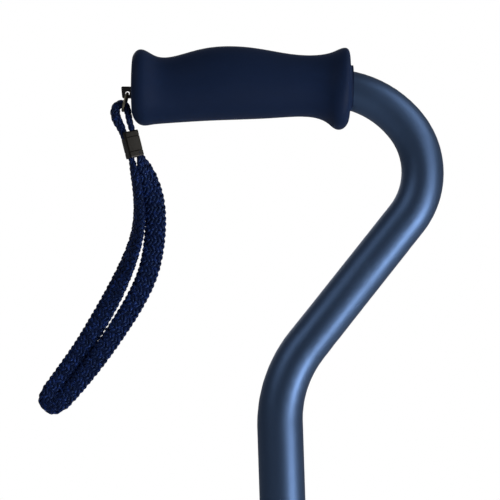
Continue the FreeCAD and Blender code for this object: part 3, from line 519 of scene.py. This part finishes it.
def add_yarn(tubes, bed, run, way, carrier, tone):
    """One yarn that winds round the cord one way, over one and under one, as two plies side by side."""
    share = way * run / BRAID_PITCH + carrier / CARRIERS
    crossing = 2 * CARRIERS * run / BRAID_PITCH
    phase = 2 * carrier + way * crossing
    lift = way * WEAVE_LIFT * np.cos(np.pi * phase)
    at, out = bed.point(np.arange(len(run)), share, lift)
    beside = unit(np.cross(unit(np.gradient(at, axis=0)), out))
    yarn_wide = bed.yarn_width()
    shape = np.linspace(0.0, 2 * np.pi, YARN_SIDES, endpoint=False)
    across = beside[:, None] * ((yarn_wide * PLY_HALF_WIDE)[:, None] * np.cos(shape))[..., None]
    upright = out[:, None] * (YARN_THICK / 2 * np.sin(shape))[None, :, None]
    for ply in (-1, 1):
        middle = at + beside * (ply * yarn_wide / 4)[:, None]
        tubes.add(middle[:, None] + across + upright, run, tone + ply * PLY_TONE)


def add_core(tubes, bed, run):
    """The dark core that closes the gaps between the yarns."""
    index = np.arange(0, len(run), CORE_STEP)
    sides = []
    for share in np.linspace(0.0, 1.0, CORE_SIDES, endpoint=False):
        sides.append(bed.point(index, np.full(len(index), share), -WEAVE_LIFT)[0])
    tubes.add(np.stack(sides, axis=1), run[index], 0.0)


def make_braid():
    """The wrist cord: a flat tubular braid with a dark core. Gives the piece, its line and its length."""
    route = spline_line("wrist_cord_line", CORD_ROUTE, LINE_STEPS)
    length = distances(route)[-1]
    count = int(length / BRAID_PITCH * 2 * CARRIERS * SAMPLES_PER_CROSSING) + 1
    line = evenly(route, count)
    run = np.linspace(0.0, length, count)
    bed = BraidBed(line, CORD_SECTIONS)
    tubes = Tubes()
    random = np.random.default_rng(7)
    for way in (1, -1):
        for carrier in range(CARRIERS):
            add_yarn(tubes, bed, run, way, carrier, random.uniform(0.2, 0.8))
    add_core(tubes, bed, run)
    return tubes.piece("braided_cord"), line, length


# ---------------------------------------------------------------- the crimp

CRIMP_CENTRE = (0.0016, 0.0, -0.0282)
CRIMP_HALF_WIDE, CRIMP_HALF_DEEP, CRIMP_LENGTH = 0.00425, 0.0037, 0.0145
CRIMP_WALL, CRIMP_CORNER = 0.0005, 0.0008
CRIMP_TILT, CRIMP_TURN = math.radians(12.4), math.radians(25)
CRIMP_LEVELS = [0.0, 0.03, 0.06, 0.4, 0.6, 0.94, 0.97, 1.0]
END_INSET = 0.00018
GROOVE_DEEP, GROOVE_PLACES = 0.00022, (0.22, 0.78)
GROOVE_STEPS = (-0.05, -0.02, 0.0, 0.02, 0.05)
CORNER_POINTS = 6
SHARP_EDGE = math.radians(35)


def rounded_loop(half_wide, half_deep, corner):
    """Points round a rectangle with rounded corners, in turn."""
    points = []
    for quarter, (side, front) in enumerate(((1, 1), (-1, 1), (-1, -1), (1, -1))):
        for step in range(CORNER_POINTS):
            angle = math.radians(90 * (quarter + step / (CORNER_POINTS - 1)))
            x = side * (half_wide - corner) + corner * math.cos(angle)
            y = front * (half_deep - corner) + corner * math.sin(angle)
            points.append((x, y))
    return points


def crimp_rings():
    """The band's rings: up the outer face, over the end and down the bore, each a list of points."""
    levels = CRIMP_LEVELS + [place + step for place in GROOVE_PLACES for step in GROOVE_STEPS]
    rings = []
    for level in sorted(levels):
        inset = 0.0
        if level in (0.0, 1.0):
            inset = END_INSET
        if level in GROOVE_PLACES:
            inset = GROOVE_DEEP
        rings.append((level, inset, CRIMP_CORNER))
    rings += [(level, CRIMP_WALL, CRIMP_CORNER / 2) for level in (1.0, 0.0)]
    loops = []
    for level, inset, corner in rings:
        loop = rounded_loop(CRIMP_HALF_WIDE - inset, CRIMP_HALF_DEEP - inset, corner)
        loops.append([(x, y, (level - 0.5) * CRIMP_LENGTH) for x, y in loop])
    return loops


def make_crimp():
    """The metal band round both strands, with rolled ends and two pressed grooves."""
    rings = crimp_rings()
    count, sides = len(rings), len(rings[0])
    faces = []
    for ring in range(count):
        here = ring * sides
        there = (ring + 1) % count * sides
        for side in range(sides):
            after = (side + 1) % sides
            faces.append((here + side, here + after, there + after, there + side))
    mesh = bpy.data.meshes.new("folded_crimp")
    mesh.from_pydata([corner for ring in rings for corner in ring], [], faces)
    mesh.shade_smooth()
    mesh.set_sharp_from_angle(angle=SHARP_EDGE)
    band = placed("folded_crimp", mesh)
    turn = Matrix.Rotation(-CRIMP_TILT, 4, "Y") @ Matrix.Rotation(CRIMP_TURN, 4, "Z")
    band.matrix_world = Matrix.Translation(LUG_HOLE + Vector(CRIMP_CENTRE)) @ turn
    return band


cord, cord_line, cord_length = make_braid()
cord.data.materials.append(braid_yarn())
crimp = make_crimp()
crimp.data.materials.append(drawn_metal("dark_band", (0.018, 0.017, 0.016), (0.036, 0.034, 0.031), 0.40))
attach(crimp, "strap")
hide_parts("strap_crimp")
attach(cord, "strap")
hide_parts("wrist_strap")

# ---------------------------------------------------------------- materials for the CAD nodes

NO_GRAIN = (1.0, 1.0, 1.0)
LOOKS = {
    "anodised_tube": anodised_tube(),
    "grip_rubber": grip_rubber(),
    "black_plastic": moulded_plastic("black_plastic", (0.012, 0.012, 0.013), (0.020, 0.020, 0.021), 0.45),
    "grey_plastic": moulded_plastic("grey_plastic", (0.30, 0.30, 0.31), (0.38, 0.38, 0.39), 0.5),
    "steel_wire": drawn_metal("steel_wire", (0.20, 0.18, 0.13), (0.34, 0.32, 0.25), 0.38),
    "crimp_metal": drawn_metal("crimp_metal", (0.050, 0.046, 0.038), (0.105, 0.098, 0.082), 0.36),
    "lower_tube_metal": drawn_metal("lower_tube_metal", (0.56, 0.57, 0.59), (0.66, 0.67, 0.69), 0.32),
    "bright_steel": drawn_metal("bright_steel", (0.50, 0.50, 0.50), (0.64, 0.64, 0.65), 0.3, NO_GRAIN),
    "hub_metal": powder_coat("hub_metal", (0.016, 0.016, 0.018), (0.05, 0.05, 0.055)),
    "leg_metal": powder_coat("leg_metal", (0.030, 0.068, 0.155), (0.06, 0.12, 0.24)),
    "tip_rubber": tip_rubber(),
}
for row in frame["record"]["subparts"]:
    node = nodes[row["node"]]
    if row["material_slot"] in LOOKS:
        node.data.materials.clear()
        node.data.materials.append(LOOKS[row["material_slot"]])

# ---------------------------------------------------------------- studio and camera

PICTURE_WIDTH = 0.2767
PICTURE_CENTRE = from_shaft(-0.0135, 0.0, 0.0976)
CAMERA_ROLL = math.radians(1.85)
LENS = 135.0
SENSOR = 36.0
FLOOR_REACH = 2.6
WORLD_FRONT, WORLD_BACK = (-0.6, 0.06), (0.7, 0.20)     # direction's Y, and the strength there


def make_floor():
    """A plain pale floor."""
    mesh = bpy.data.meshes.new("floor")
    corners = [(x * FLOOR_REACH, y * FLOOR_REACH, 0.0) for x, y in ((-1, -1), (1, -1), (1, 1), (-1, 1))]
    mesh.from_pydata(corners, [], [(0, 1, 2, 3)])
    floor = placed("floor", mesh)
    floor.data.materials.append(Shader("floor_paper", (0.86, 0.86, 0.86), roughness=0.8).material)


def softbox(name, at, width, height, watts):
    """A rectangular area light that faces the picture's centre."""
    light = bpy.data.lights.new(name, "AREA")
    light.shape = "RECTANGLE"
    light.size, light.size_y, light.energy = width, height, watts
    lamp = placed(name, light)
    lamp.location = at
    lamp.rotation_mode = "QUATERNION"
    lamp.rotation_quaternion = (PICTURE_CENTRE - Vector(at)).to_track_quat("-Z", "Y")


def make_world():
    """White to the camera; as a light it is far weaker, and weakest from the front."""
    world = bpy.data.worlds.new("studio")
    bpy.context.scene.world = world
    world.use_nodes = True
    tree = world.node_tree
    background = tree.nodes["Background"]
    coordinates = tree.nodes.new("ShaderNodeTexCoord")
    parts = tree.nodes.new("ShaderNodeSeparateXYZ")
    tree.links.new(coordinates.outputs["Generated"], parts.inputs[0])
    shade = tree.nodes.new("ShaderNodeMapRange")
    numbers = (WORLD_FRONT[0], WORLD_BACK[0], WORLD_FRONT[1], WORLD_BACK[1])
    for socket, number in zip(RANGE_SOCKETS, numbers):
        shade.inputs[socket].default_value = number
    tree.links.new(parts.outputs["Y"], shade.inputs["Value"])
    path = tree.nodes.new("ShaderNodeLightPath")
    strength = tree.nodes.new("ShaderNodeMix")
    tree.links.new(path.outputs["Is Camera Ray"], strength.inputs[0])
    tree.links.new(shade.outputs["Result"], strength.inputs[2])
    strength.inputs[3].default_value = 1.0
    tree.links.new(strength.outputs[0], background.inputs["Strength"])
    background.inputs["Color"].default_value = (1.0, 1.0, 1.0, 1.0)


def make_camera():
    """The side view of the handle through a long lens, rolled by less than two degrees."""
    camera = bpy.data.cameras.new("camera")
    camera.lens, camera.sensor_width = LENS, SENSOR
    eye = placed("camera", camera)
    distance = PICTURE_WIDTH * LENS / SENSOR
    eye.location = PICTURE_CENTRE - Vector((0.0, distance, 0.0))
    eye.rotation_euler = (math.radians(90), CAMERA_ROLL, 0.0)
    camera.clip_start, camera.clip_end = 0.05, 50.0
    bpy.context.scene.camera = eye


make_floor()
make_world()
softbox("right", (1.5, -1.3, 0.6), 1.5, 1.5, 12.0)
softbox("low_right", (0.95, -0.65, 0.08), 0.4, 0.14, 8.0)
softbox("high_right", (1.3, -0.4, 1.7), 1.1, 1.1, 9.0)
softbox("high_left", (-1.2, -0.9, 1.5), 0.9, 0.9, 5.0)
softbox("back", (-0.6, 2.0, 1.4), 1.6, 1.2, 4.0)
make_camera()
bpy.context.scene.view_settings.view_transform = "Standard"
